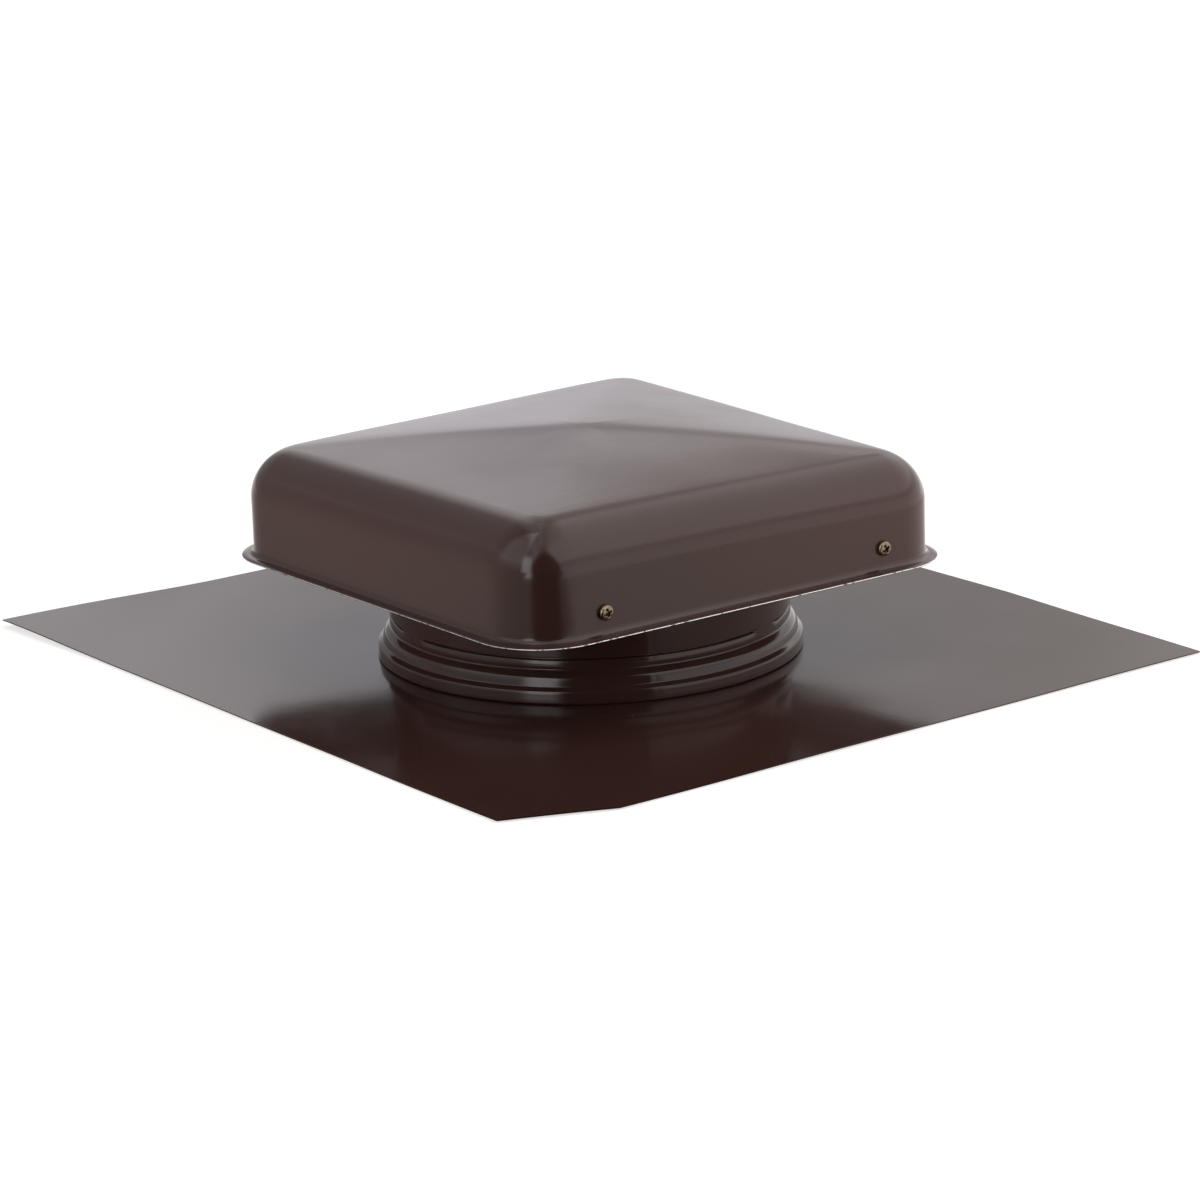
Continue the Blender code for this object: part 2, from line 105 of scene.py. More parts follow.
# Flashing sheet
NECK_R = 97.7 * MM
NECK_TOP = SHEET_HIGH.z
NECK_BEND = 3.5 * MM
CLIP_X = 52.0 * MM
CLIP_Y = 22.0 * MM
CURL_RISE = 2.7 * MM
CURL_REACH = 85.0 * MM
# The right corner and the left corner are cut a little out of square
TRIM_X = 4.6 * MM
TRIM_Y = 3.4 * MM
TRIM_RUN = 150.0 * MM
TRIM_SWELL = 0.6 * MM
FLARE_X = 3.4 * MM
FLARE_RUN = 90.0 * MM
# It waves a little beyond its stiff middle
SHEET_WAVE = 0.45 * MM
SHEET_WAVES_PER_M = 11.0
STIFF_R = 110.0 * MM
WAVY_R = 170.0 * MM

# Screws
SCREW_HEAD_R = 3.9 * MM
SCREW_HEAD_HEIGHT = 2.6 * MM
SCREW_CROWN = 0.35 * MM
SCREW_GAP = 0.3 * MM
SHANK_R = 1.75 * MM
SHANK_LENGTH = 12.0 * MM
POINT_LENGTH = 3.0 * MM
THREAD_HEIGHT = 0.28 * MM
THREAD_SINK = 0.1 * MM
THREAD_HALF = 0.35 * MM
THREAD_START = 1.0 * MM
THREAD_PITCH = 1.35 * MM
THREAD_TURNS = 5
RECESS_REACH = 2.5 * MM
RECESS_WIDTH = 0.62 * MM
RECESS_DEPTH = 1.9 * MM

# Rivets, clamp ring and insect screen
RIVET_R = 1.6 * MM
RIVET_DOME = 1.2 * MM
RING_WIDTH = 8.2 * MM
RING_EASE = 0.2 * MM
WIRE_PITCH = 3.2 * MM
WIRE_R = 0.22 * MM
SCREEN_MARGIN = 0.5 * MM

# Table under the vent
TABLE_R = 9.0
TABLE_DROP = 0.2 * MM

# Points round the hood: 16 steps on each corner's arc and 24 on each straight side
ARC_STEPS = 16
SIDE_STEPS = 24
QUARTER = ARC_STEPS + SIDE_STEPS
# Points round the throat, and steps along the flashing's edge
THROAT_STEPS = 480
SHEET_STEP = 7.0 * MM

# Camera, solved from the photograph of 1200 by 1200 pixels
CAMERA_AZIMUTH = -36.50
CAMERA_ELEVATION = 15.37
CAMERA_ROLL = -1.74
CAMERA_DISTANCE = 2.1388
CAMERA_AIM = (5.28 * MM, 22.64 * MM)
CAMERA_LENS = 126.34
SENSOR = 36.0


def linear(hex_color):
    """sRGB hex text to linear RGBA."""
    parts = [int(hex_color[i:i + 2], 16) / 255 for i in (0, 2, 4)]
    return [c / 12.92 if c <= 0.04045 else ((c + 0.055) / 1.055) ** 2.4 for c in parts] + [1.0]


def add_node(tree, kind, settings=None, inputs=None):
    """Add a shader node, set its fields and fill or link its inputs."""
    made = tree.nodes.new(kind)
    for key, value in (settings or {}).items():
        setattr(made, key, value)
    for key, value in (inputs or {}).items():
        if isinstance(value, bpy.types.NodeSocket):
            tree.links.new(value, made.inputs[key])
        else:
            made.inputs[key].default_value = value
    return made


def start_material(name):
    """A new material with its node tree and shader."""
    material = bpy.data.materials.new(name)
    material.use_nodes = True
    tree = material.node_tree
    return material, tree, tree.nodes["Principled BSDF"]


def brown_enamel(name, dark, light, least_rough, most_rough):
    """Coil-coated brown polyester enamel: glossy, nearly black brown, with dust specks and a faint
    orange peel that only the reflections show."""
    material, tree, shader = start_material(name)
    place = add_node(tree, "ShaderNodeTexCoord").outputs["Object"]
    # Cloudy tone, some 120 mm across
    cloud = add_node(tree, "ShaderNodeTexNoise", None,
                     {"Vector": place, "Scale": 8.0, "Detail": 3.0, "Roughness": 0.6})
    tone = add_node(tree, "ShaderNodeMix", {"data_type": "RGBA"},
                    {0: cloud.outputs["Fac"], 6: linear(dark), 7: linear(light)})
    # Dust specks about 0.7 mm across, in one of some 140 cells of 6 mm
    cells = add_node(tree, "ShaderNodeTexVoronoi", None, {"Vector": place, "Scale": 160.0})
    chance = add_node(tree, "ShaderNodeSeparateColor", None, {"Color": cells.outputs["Color"]})
    rare = add_node(tree, "ShaderNodeMath", {"operation": "GREATER_THAN"},
                    {0: chance.outputs["Red"], 1: 0.993})
    small = add_node(tree, "ShaderNodeMath", {"operation": "LESS_THAN"},
                     {0: cells.outputs["Distance"], 1: 0.06})
    speck = add_node(tree, "ShaderNodeMath", {"operation": "MULTIPLY"},
                     {0: rare.outputs[0], 1: small.outputs[0]})
    dusty = add_node(tree, "ShaderNodeMix", {"data_type": "RGBA"},
                     {0: speck.outputs[0], 6: tone.outputs[2], 7: linear("8f8580")})
    # Wiped patches 40 mm across where the gloss is a little lower
    wipe = add_node(tree, "ShaderNodeTexNoise", None,
                    {"Vector": place, "Scale": 25.0, "Detail": 4.0, "Roughness": 0.55})
    gloss = add_node(tree, "ShaderNodeMapRange", None,
                     {"Value": wipe.outputs["Fac"], "From Min": 0.35, "From Max": 0.7,
                      "To Min": least_rough, "To Max": most_rough})
    # Orange peel of 2.5 mm
    peel = add_node(tree, "ShaderNodeTexNoise", None, {"Vector": place, "Scale": 400.0, "Detail": 1.0})
    relief = add_node(tree, "ShaderNodeBump", None,
                      {"Height": peel.outputs["Fac"], "Strength": 0.05, "Distance": 0.3 * MM})
    tree.links.new(dusty.outputs[2], shader.inputs["Base Color"])
    tree.links.new(gloss.outputs[0], shader.inputs["Roughness"])
    tree.links.new(relief.outputs[0], shader.inputs["Normal"])
    shader.inputs["IOR"].default_value = 1.5
    return material


def grey_backer_coat():
    """Thin grey backer coat on the inner side of the coil-coated sheet: dull and a little cloudy."""
    material, tree, shader = start_material("grey_backer_coat")
    place = add_node(tree, "ShaderNodeTexCoord").outputs["Object"]
    # Cloudy tone, some 60 mm across
    cloud = add_node(tree, "ShaderNodeTexNoise", None, {"Vector": place, "Scale": 16.0, "Detail": 3.0})
    tone = add_node(tree, "ShaderNodeMix", {"data_type": "RGBA"},
                    {0: cloud.outputs["Fac"], 6: linear("8a888d"), 7: linear("949297")})
    tree.links.new(tone.outputs[2], shader.inputs["Base Color"])
    shader.inputs["Roughness"].default_value = 0.5
    shader.inputs["IOR"].default_value = 1.5
    return material


def galvanised_steel():
    """Hot-dip galvanised steel: grey zinc with spangle crystals about 9 mm across."""
    material, tree, shader = start_material("galvanised_steel")
    place = add_node(tree, "ShaderNodeTexCoord").outputs["Object"]
    crystals = add_node(tree, "ShaderNodeTexVoronoi", None, {"Vector": place, "Scale": 110.0})
    pick = add_node(tree, "ShaderNodeSeparateColor", None, {"Color": crystals.outputs["Color"]})
    tone = add_node(tree, "ShaderNodeMix", {"data_type": "RGBA"},
                    {0: pick.outputs["Red"], 6: linear("a9adb1"), 7: linear("c8cbcd")})
    dull = add_node(tree, "ShaderNodeMapRange", None,
                    {"Value": pick.outputs["Green"], "To Min": 0.28, "To Max": 0.46})
    tree.links.new(tone.outputs[2], shader.inputs["Base Color"])
    tree.links.new(dull.outputs[0], shader.inputs["Roughness"])
    shader.inputs["Metallic"].default_value = 1.0
    return material


def sheared_steel():
    """The sheet's sheared edge: bright bare steel, broken every few millimetres by dragged paint."""
    material, tree, shader = start_material("sheared_steel")
    place = add_node(tree, "ShaderNodeTexCoord").outputs["Object"]
    burr = add_node(tree, "ShaderNodeTexNoise", None,
                    {"Vector": place, "Scale": 380.0, "Detail": 3.0, "Roughness": 0.6})
    bare = add_node(tree, "ShaderNodeMapRange", None,
                    {"Value": burr.outputs["Fac"], "From Min": 0.36, "From Max": 0.46})
    tone = add_node(tree, "ShaderNodeMix", {"data_type": "RGBA"},
                    {0: bare.outputs[0], 6: linear("7a6c62"), 7: linear("fdfcfa")})
    tree.links.new(tone.outputs[2], shader.inputs["Base Color"])
    shader.inputs["Metallic"].default_value = 1.0
    shader.inputs["Roughness"].default_value = 0.34
    return material


def yellow_zinc_plate():
    """Yellow chromated zinc on the screws: silvery with straw and bronze patches."""
    material, tree, shader = start_material("yellow_zinc_plate")
    place = add_node(tree, "ShaderNodeTexCoord").outputs["Object"]
    # Patches about 2 mm across
    patch = add_node(tree, "ShaderNodeTexNoise", None,
                     {"Vector": place, "Scale": 450.0, "Detail": 2.0, "Roughness": 0.5})
    tone = add_node(tree, "ShaderNodeMix", {"data_type": "RGBA"},
                    {0: patch.outputs["Fac"], 6: linear("5f4630"), 7: linear("b5a78f")})
    tree.links.new(tone.outputs[2], shader.inputs["Base Color"])
    shader.inputs["Metallic"].default_value = 1.0
    shader.inputs["Roughness"].default_value = 0.22
    return material


def mark_sharp(mesh, degrees):
    """Keep edges crisp where the faces bend by more than this, and at open borders."""
    for face in mesh.faces:
        face.smooth = True
    for edge in mesh.edges:
        open_border = edge.is_boundary
        edge.smooth = not open_border and edge.calc_face_angle(0.0) < math.radians(degrees)


def put(mesh, name, crisp, *materials):
    """Turn a bmesh into an object that rides on the one body, smooth but for its crisp edges."""
    mark_sharp(mesh, crisp)
    data = bpy.data.meshes.new(name)
    mesh.to_mesh(data)
    mesh.free()
    for material in materials:
        data.materials.append(material)
    obj = bpy.data.objects.new(name, data)
    bpy.context.scene.collection.objects.link(obj)
    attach(obj, "root")
    return obj


def give_gauge(obj, offset):
    """Thicken an open sheet to the gauge of the steel."""
    wall = obj.modifiers.new("gauge", "SOLIDIFY")
    wall.thickness = GAUGE
    wall.offset = offset
    return wall


def ring_shell(count, stations, place):
    """Extrude a ring of points from station to station.

    place(i, station) gives the i-th point's position at a station."""
    mesh = bmesh.new()
    turn = mesh.verts.layers.int.new("turn")
    level = mesh.verts.layers.int.new("level")
    ring = bmesh.ops.create_circle(mesh, segments=count, radius=1.0)["verts"]
    for i, vert in enumerate(ring):
        vert[turn] = i
        vert.co = place(i, stations[0])
    edges = list(mesh.edges)
    for number, station in enumerate(stations[1:], 1):
        made = bmesh.ops.extrude_edge_only(mesh, edges=edges)["geom"]
        verts = {v for v in made if isinstance(v, bmesh.types.BMVert)}
        edges = [e for e in made if isinstance(e, bmesh.types.BMEdge) and set(e.verts) <= verts]
        for vert in verts:
            vert.co = place(vert[turn], station)
            vert[level] = number
    return mesh, edges, level


def arc(center, radius, start_deg, end_deg, steps):
    """Points of an arc, both ends included."""
    points = []
    for i in range(steps + 1):
        angle = math.radians(start_deg + (end_deg - start_deg) * i / steps)
        points.append((center[0] + radius * math.cos(angle), center[1] + radius * math.sin(angle)))
    return points


def smooth_step(low, high, value):
    """0 below low, 1 above high, and a smooth rise between."""
    t = min(1.0, max(0.0, (value - low) / (high - low)))
    return t * t * (3.0 - 2.0 * t)


def square_point(i, half, corner):
    """The i-th point of a square outline with round corners."""
    quarter, k = divmod(i, QUARTER)
    inner = half - corner
    if k <= ARC_STEPS:
        angle = math.radians(90.0 * k / ARC_STEPS)
        x, y = inner + corner * math.cos(angle), inner + corner * math.sin(angle)
    else:
        x, y = inner - 2.0 * inner * (k - ARC_STEPS) / SIDE_STEPS, half
    turn = math.radians(90.0 * quarter)
    return (x * math.cos(turn) - y * math.sin(turn), x * math.sin(turn) + y * math.cos(turn))


def crown(x, y):
    """Height of the four sloping panels above the rim, soft along the ridges and at the apex."""
    ax, ay = abs(x), abs(y)
    ridge = (ax + ay + math.hypot(ax - ay, RIDGE_SOFT)) / 2
    soft = math.hypot(ridge, APEX_SOFT)
    droop = PANEL_DROOP * max(0.0, (ridge - DROOP_FROM * HOOD_HALF) / (DROOP_SPAN * HOOD_HALF)) ** 2
    rise = APEX_RISE * (1.0 - soft / math.hypot(HOOD_HALF, APEX_SOFT))
    return SHOULDER_Z - min(droop, PANEL_DROOP) + rise


def corner_lift(u, v):
    """Height that the four corners' unevenness gives at a place, each share from -1 to 1."""
    near = (1.0 - u) * (1.0 - v) / 4
    far = (1.0 + u) * (1.0 + v) / 4
    left = (1.0 - u) * (1.0 + v) / 4
    right = (1.0 + u) * (1.0 - v) / 4
    return near * NEAR_LIFT + far * FAR_LIFT + left * LEFT_LIFT + right * RIGHT_LIFT


def hood_stations():
    """Half width, corner radius, and a fall below the panels or a height of its own."""
    top_of_lip = RIM_Z + GAUGE + LIP_FALL
    stations = [(LIP_HALF, HOOD_CORNER + LIP_WIDTH, None, RIM_Z + GAUGE - EDGE_SLANT),
                (LIP_HALF - EDGE_SLANT, HOOD_CORNER + LIP_WIDTH - EDGE_SLANT, None, RIM_Z + GAUGE),
                (LIP_HALF - 0.45 * LIP_WIDTH, HOOD_CORNER + 0.55 * LIP_WIDTH, None, top_of_lip)]
    for out, rise in arc((ROOT_BEND, ROOT_BEND), ROOT_BEND, 270.0, 180.0, 6):
        stations.append((HOOD_HALF + out, HOOD_CORNER + out, None, top_of_lip + rise))
    wall_low = top_of_lip + ROOT_BEND
    wall_high = SHOULDER_Z - SHOULDER
    for k in range(1, 8):
        stations.append((HOOD_HALF, HOOD_CORNER, None, wall_low + (wall_high - wall_low) * k / 8))
    for inset, fall in arc((SHOULDER, -SHOULDER), SHOULDER, 180.0, 90.0, 16):
        stations.append((HOOD_HALF - inset, max(HOOD_CORNER - inset, TOP_CORNER), fall, None))
    reach = HOOD_HALF - SHOULDER
    for k in range(1, 16):
        share = 1.0 - k / 16
        stations.append((reach * share, TOP_CORNER * share, 0.0, None))
    return stations


def hood_place(i, station):
    """Place of a point of the hood, with the pressing's slight twist and waviness."""
    half, corner, fall, height = station
    x, y = square_point(i, half, corner)
    z = height if height is not None else crown(x, y) + fall
    share = smooth_step(RIM_Z, SHOULDER_Z, z)
    z += share * corner_lift(x / HOOD_HALF, y / HOOD_HALF)
    wave = PANEL_WAVE * share * noise.noise(Vector((x, y, z)) * PANEL_WAVES_PER_M)
    away = Vector((x, y, 0.0)).normalized()
    return HOOD_MIDDLE + Vector((x, y, z)) + away * wave + Vector((0.0, 0.0, wave))


def build_hood(enamel, edge, backer):
    """Pressed hood: lip, root bend, walls, round shoulder and four soft-ridged panels."""
    mesh, last, level = ring_shell(4 * QUARTER, hood_stations(), hood_place)
    for face in mesh.faces:
        if max(v[level] for v in face.verts) == 1:
            face.material_index = 1
    tip = bmesh.ops.extrude_edge_only(mesh, edges=last)["geom"]
    tip = [v for v in tip if isinstance(v, bmesh.types.BMVert)]
    bmesh.ops.pointmerge(mesh, verts=tip, merge_co=hood_place(0, (0.0, 0.0, 0.0, None)))
    bmesh.ops.recalc_face_normals(mesh, faces=mesh.faces)
    obj = put(mesh, "hood_pressing", 50.0, enamel, edge, backer)
    up = sum(p.normal.z * p.area for p in obj.data.polygons) > 0.0
    give_gauge(obj, -1.0 if up else 1.0).material_offset = 2
    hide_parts("hood")
    return obj


def groove_share(angle_deg):
    """1 along the three pressed arcs and 0 on the short lands between them."""
    to_land = GROOVE_SPACING_DEG / 2
    offset = (angle_deg - GROOVE_FIRST_DEG + to_land) % GROOVE_SPACING_DEG - to_land
    half = GROOVE_LAND_DEG / 2
    return smooth_step(half - GROOVE_START_DEG, half + GROOVE_FULL_DEG, abs(offset))


def throat_profile():
    """Outer side of the throat from its seat down: radius, height, groove share."""
    bend_low = THROAT_TOP - SEAT_BEND
    profile = [(THROAT_R - SEAT_WIDTH, THROAT_TOP, 0.0)]
    profile += [(r, z, 0.0) for r, z in arc((THROAT_R - SEAT_BEND, bend_low), SEAT_BEND, 90.0, 0.0, 6)]
    for k in range(1, 7):
        profile.append((THROAT_R, bend_low - (bend_low - GROOVE_Z) * k / 7, 0.0))
    # Pressed slit with crisp edges, its soft lower rim and a plain waist
    profile += [(THROAT_R + r * MM, GROOVE_Z + z * MM, share) for r, z, share in (
        (0.0, 1.2, 0.0), (0.0, 0.6, 0.0), (0.0, 0.36, 0.04), (0.0, 0.26, 0.5), (0.0, 0.16, 0.95),
        (0.0, -0.2, 1.0), (0.0, -0.55, 0.95), (0.0, -0.66, 0.5), (0.0, -0.78, 0.27), (0.0, -1.2, 0.205),
        (0.0, -1.8, 0.135), (0.0, -2.5, 0.075), (0.0, -3.2, 0.035), (-0.05, -3.9, 0.01),
        (-0.2, -4.5, 0.0), (-0.38, -5.2, 0.0))]
    # Foot: steep ledge, a soft band, a crease, a short step and an upright hem
    profile += [(THROAT_R + r * MM, FOOT_Z + z * MM, 0.0) for r, z in (
        (-0.4, 15.45), (0.35, 14.8), (1.0, 14.2), (1.6, 13.6), (2.1, 13.05), (2.45, 12.6), (2.65, 12.2),
        (2.82, 11.7), (2.97, 11.2), (3.12, 10.6), (3.27, 9.95), (3.42, 9.2), (3.56, 8.5), (3.68, 7.9),
        (3.78, 7.78), (4.8, 7.06), (5.85, 6.35), (5.93, 6.25), (6.05, 4.6), (6.2, 2.6), (6.35, 0.8),
        (6.25, 0.25), (5.9, 0.0))]
    return profile


def throat_place(i, station):
    """Place of a point of the throat, with its pressed arcs and its lapped seam."""
    radius, height, share = station
    angle_deg = 360.0 * i / THROAT_STEPS
    r = radius - GROOVE_DEPTH * share * groove_share(angle_deg)
    past_seam = (angle_deg - SEAM_DEG) % 360.0
    if FOOT_Z + 3.0 * MM < height < THROAT_TOP - 2.0 * MM:
        r += SEAM_STEP * smooth_step(340.0, 359.0, past_seam)
    angle = math.radians(angle_deg)
    return AXIS + Vector((r * math.cos(angle), r * math.sin(angle), height))


def build_throat(enamel):
    """Rolled throat with a flared foot."""
    mesh = ring_shell(THROAT_STEPS, throat_profile(), throat_place)[0]
    bmesh.ops.recalc_face_normals(mesh, faces=mesh.faces)
    obj = put(mesh, "throat_tube", 60.0, enamel)
    out = sum(p.normal.dot(p.center - AXIS - Vector((0, 0, p.center.z))) for p in obj.data.polygons) > 0.0
    give_gauge(obj, -1.0 if out else 1.0)
    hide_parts("collar")
    return obj


def sheet_corners():
    """The flashing sheet's corners from above, one clipped and two a little out of square."""
    return [Vector((SHEET_LOW.x + CLIP_X, SHEET_LOW.y, 0.0)),
            Vector((SHEET_HIGH.x - TRIM_X, SHEET_LOW.y + TRIM_Y, 0.0)),
            Vector((SHEET_HIGH.x + TRIM_SWELL, SHEET_LOW.y + TRIM_RUN, 0.0)),
            Vector((SHEET_HIGH.x, SHEET_HIGH.y, 0.0)),
            Vector((SHEET_LOW.x - FLARE_X, SHEET_HIGH.y, 0.0)),
            Vector((SHEET_LOW.x, SHEET_HIGH.y - FLARE_RUN, 0.0)),
            Vector((SHEET_LOW.x, SHEET_LOW.y + CLIP_Y, 0.0))]


def sheet_edge(step_length):
    """Points along the sheet's edge, about a step apart, with every corner among them."""
    corners = sheet_corners()
    points = []
    for start, end in zip(corners, corners[1:] + corners[:1]):
        steps = max(1, round((end - start).length / step_length))
        points += [start.lerp(end, k / steps) for k in range(steps)]
    return points


def sheet_lift(x, y):
    """How far the sheet stands off the roof: a curled corner and a slight waviness."""
    tip = Vector((SHEET_LOW.x, SHEET_HIGH.y))
    away = (tip - Vector((x, y))).dot((tip - AXIS.xy).normalized())
    curl = CURL_RISE * (1.0 - smooth_step(0.0, CURL_REACH, away))
    from_neck = (Vector((x, y)) - AXIS.xy).length
    swell = SHEET_WAVE * (1.0 + noise.noise(Vector((x, y, 0.0)) * SHEET_WAVES_PER_M))
    return curl + swell * smooth_step(STIFF_R, WAVY_R, from_neck)


EDGE = sheet_edge(SHEET_STEP)


def sheet_place(i, station):
    """Place of a point of the flashing sheet, on its neck or on its flat."""
    edge = EDGE[i] - AXIS
    ray = Vector((edge.x, edge.y, 0.0)).normalized()
    if station[0] == "neck":
        return AXIS + ray * station[1] + Vector((0.0, 0.0, station[2]))
    start = NECK_R + NECK_BEND
    flat = AXIS + ray * (start + (edge.length - start) * station[1])
    return Vector((flat.x, flat.y, sheet_lift(flat.x, flat.y)))


def build_sheet(enamel):
    """Flashing sheet with a neck turned up round its hole."""
    stations = [("neck", NECK_R, NECK_TOP), ("neck", NECK_R, 0.5 * NECK_TOP)]
    stations += [("neck", r, z) for r, z in arc((NECK_R + NECK_BEND, NECK_BEND), NECK_BEND, 180, 270, 6)]
    stations += [("flat", (k / 20) ** 1.15) for k in range(1, 21)]
    mesh = ring_shell(len(EDGE), stations, sheet_place)[0]
    bmesh.ops.recalc_face_normals(mesh, faces=mesh.faces)
    obj = put(mesh, "flashing_sheet", 50.0, enamel)
    up = sum(p.normal.z for p in obj.data.polygons) > 0.0
    give_gauge(obj, 1.0 if up else -1.0)
    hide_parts("base_flange")
    return obj


def turned(profile, steps, place=None):
    """Spin a profile of (radius, height) round the Z axis into a closed solid."""
    mesh = bmesh.new()
    verts = [mesh.verts.new((r, 0.0, z)) for r, z in profile]
    edges = [mesh.edges.new(pair) for pair in zip(verts, verts[1:])]
    bmesh.ops.spin(mesh, geom=verts + edges, cent=(0, 0, 0), axis=(0, 0, 1), angle=2 * math.pi,
                   steps=steps, use_merge=True)
    bmesh.ops.remove_doubles(mesh, verts=mesh.verts, dist=1e-6)
    bmesh.ops.recalc_face_normals(mesh, faces=mesh.faces)
    if place:
        bmesh.ops.transform(mesh, matrix=place, verts=mesh.verts)
    return mesh


def cross_depth(x, y):
    """Depth of a cross recess at a place on the screw's head."""
    ax, ay = abs(x), abs(y)
    along, across = max(ax, ay), min(ax, ay)
    inside = 1.0 - smooth_step(0.75 * RECESS_WIDTH, 1.2 * RECESS_WIDTH, across)
    inside *= 1.0 - smooth_step(0.55 * RECESS_REACH, RECESS_REACH, along)
    core = 1.0 - smooth_step(0.6 * MM, 1.15 * MM, math.hypot(x, y))
    return RECESS_DEPTH * max(inside, core)


def screw_profile():
    """Radius and height of the screw from the middle of its head down to its point."""
    crown_steps = 24
    profile = [(0.0, SCREW_HEAD_HEIGHT)]
    for k in range(1, crown_steps + 1):
        share = k / crown_steps
        profile.append((0.66 * SCREW_HEAD_R * share, SCREW_HEAD_HEIGHT - SCREW_CROWN * share ** 2))
    profile += [(SCREW_HEAD_R * s, SCREW_HEAD_HEIGHT * t) for s, t in (
        (0.76, 0.83), (0.86, 0.74), (0.94, 0.60), (0.985, 0.45), (1.0, 0.28), (1.0, 0.08), (0.97, 0.0))]
    profile += [(SHANK_R, 0.0), (SHANK_R, POINT_LENGTH - SHANK_LENGTH),
                (0.3 * MM, 0.2 * MM - SHANK_LENGTH), (0.0, -SHANK_LENGTH)]
    return profile


def add_thread(mesh):
    """A ridge of three sides wound round the shank."""
    root = SHANK_R - THREAD_SINK
    corners = ((root, 0.0), (SHANK_R + THREAD_HEIGHT, THREAD_HALF), (root, 2.0 * THREAD_HALF))
    ridge = mesh.faces.new([mesh.verts.new((r, 0.0, -THREAD_START - down)) for r, down in corners])
    steps = 16
    bmesh.ops.spin(mesh, geom=[ridge], cent=(0, 0, 0), axis=(0, 0, 1), angle=THREAD_TURNS * 2 * math.pi,
                   steps=THREAD_TURNS * steps, dvec=(0, 0, -THREAD_PITCH / steps))


def build_screw(number, plate):
    """Pan-head tapping screw with a cross recess and a rolled thread."""
    node = "hood_screw_%d" % number
    low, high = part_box(node)
    outward = -1.0 if (low.y + high.y) / 2 < AXIS.y else 1.0
    seat = HOOD_MIDDLE.y + outward * (HOOD_HALF + SCREW_GAP)
    mesh = turned(screw_profile(), 64)
    for vert in mesh.verts:
        if vert.co.z > 0.8 * SCREW_HEAD_HEIGHT:
            vert.co.z -= cross_depth(vert.co.x, vert.co.y)
    add_thread(mesh)
    turn = Matrix.Rotation(math.radians(7.0 + 11.0 * number), 4, "Z")
    face = Vector((0.0, outward, 0.0)).to_track_quat("Z", "Y").to_matrix().to_4x4()
    spot = Matrix.Translation(((low.x + high.x) / 2, seat, (low.z + high.z) / 2))
    bmesh.ops.transform(mesh, matrix=spot @ face @ turn, verts=mesh.verts)
    bmesh.ops.recalc_face_normals(mesh, faces=mesh.faces)
    obj = put(mesh, "screw_%d" % number, 40.0, plate)
    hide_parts(node)
    return obj


def build_rivet(number, steel):
    """Rivet with a domed head above and its upset end below."""
    node = "rivet_%d" % number
    low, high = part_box(node)
    middle = (low + high) / 2
    head_r = (high.x - low.x) / 2
    head_z = high.z - RIVET_DOME
    profile = [(0.0, high.z)]
    for degrees in range(80, -1, -10):
        angle = math.radians(degrees)
        profile.append((head_r * math.cos(angle), head_z + RIVET_DOME * math.sin(angle)))
    upset_z = low.z + RIVET_DOME
    profile += [(RIVET_R, head_z), (RIVET_R, upset_z), (1.5 * RIVET_R, upset_z),
                (1.5 * RIVET_R, low.z + 0.2 * RIVET_DOME), (1.3 * RIVET_R, low.z), (0.0, low.z)]
    mesh = turned(profile, 32, Matrix.Translation((middle.x, middle.y, 0.0)))
    obj = put(mesh, "rivet_set_%d" % number, 40.0, steel)
    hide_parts(node)
    return obj


def build_clamp_ring(steel):
    """Flat ring with eased edges that clamps the screen."""
    outer = (RING_HIGH.x - RING_LOW.x) / 2
    inner = outer - RING_WIDTH
    low, high = RING_LOW.z, RING_HIGH.z
    eased = high - RING_EASE
    profile = [(outer, low), (outer, eased), (outer - RING_EASE, high), (inner + RING_EASE, high),
               (inner, eased), (inner, low), (outer, low)]
    mesh = turned(profile, 192, Matrix.Translation(AXIS))
    obj = put(mesh, "clamp_ring", 30.0, steel)
    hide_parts("screen_ring")
    return obj


def add_wire(mesh, across, half, phase, turned_over):
    """One crimped wire of the screen: a strip of cells rolled into a tube."""
    count = max(2, 2 * round(half / WIRE_PITCH))
    made = bmesh.ops.create_grid(mesh, x_segments=count, y_segments=6, size=0.5)["verts"]
    middle = (SCREEN_LOW.z + SCREEN_HIGH.z) / 2
    for vert in made:
        along = 2.0 * half * vert.co.x
        roll = 2.0 * math.pi * (vert.co.y + 0.5)
        crimp = 0.5 * WIRE_R * math.cos(math.pi * along / WIRE_PITCH + phase)
        side = across + WIRE_R * math.cos(roll)
        height = middle + crimp + 0.8 * WIRE_R * math.sin(roll)
        x, y = (side, along) if turned_over else (along, side)
        vert.co = AXIS + Vector((x, y, height))
    return made


def build_screen(steel):
    """Woven wire screen, 3.2 mm from wire to wire, cut to a disc."""
    mesh = bmesh.new()
    radius = (SCREEN_HIGH.x - SCREEN_LOW.x) / 2 - SCREEN_MARGIN
    rows = int(radius / WIRE_PITCH)
    for turned_over in (False, True):
        for row in range(-rows, rows + 1):
            across = row * WIRE_PITCH
            half = math.sqrt(max(radius ** 2 - across ** 2, 0.0))
            if half > 2.0 * WIRE_PITCH:
                add_wire(mesh, across, half, math.pi * (row + turned_over), turned_over)
    bmesh.ops.remove_doubles(mesh, verts=mesh.verts, dist=1e-6)
    ends = [e for e in mesh.edges if e.is_boundary]
    bmesh.ops.holes_fill(mesh, edges=ends, sides=0)
    bmesh.ops.recalc_face_normals(mesh, faces=mesh.faces)
    obj = put(mesh, "wire_screen", 70.0, steel)
    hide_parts("insect_screen")
    return obj


def dress_straps(steel):
    """The hood's two hidden straps keep their solids and get their steel."""
    for name in ("strap_left", "strap_right"):
        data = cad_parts[name].data
        data.materials.clear()
        data.materials.append(steel)


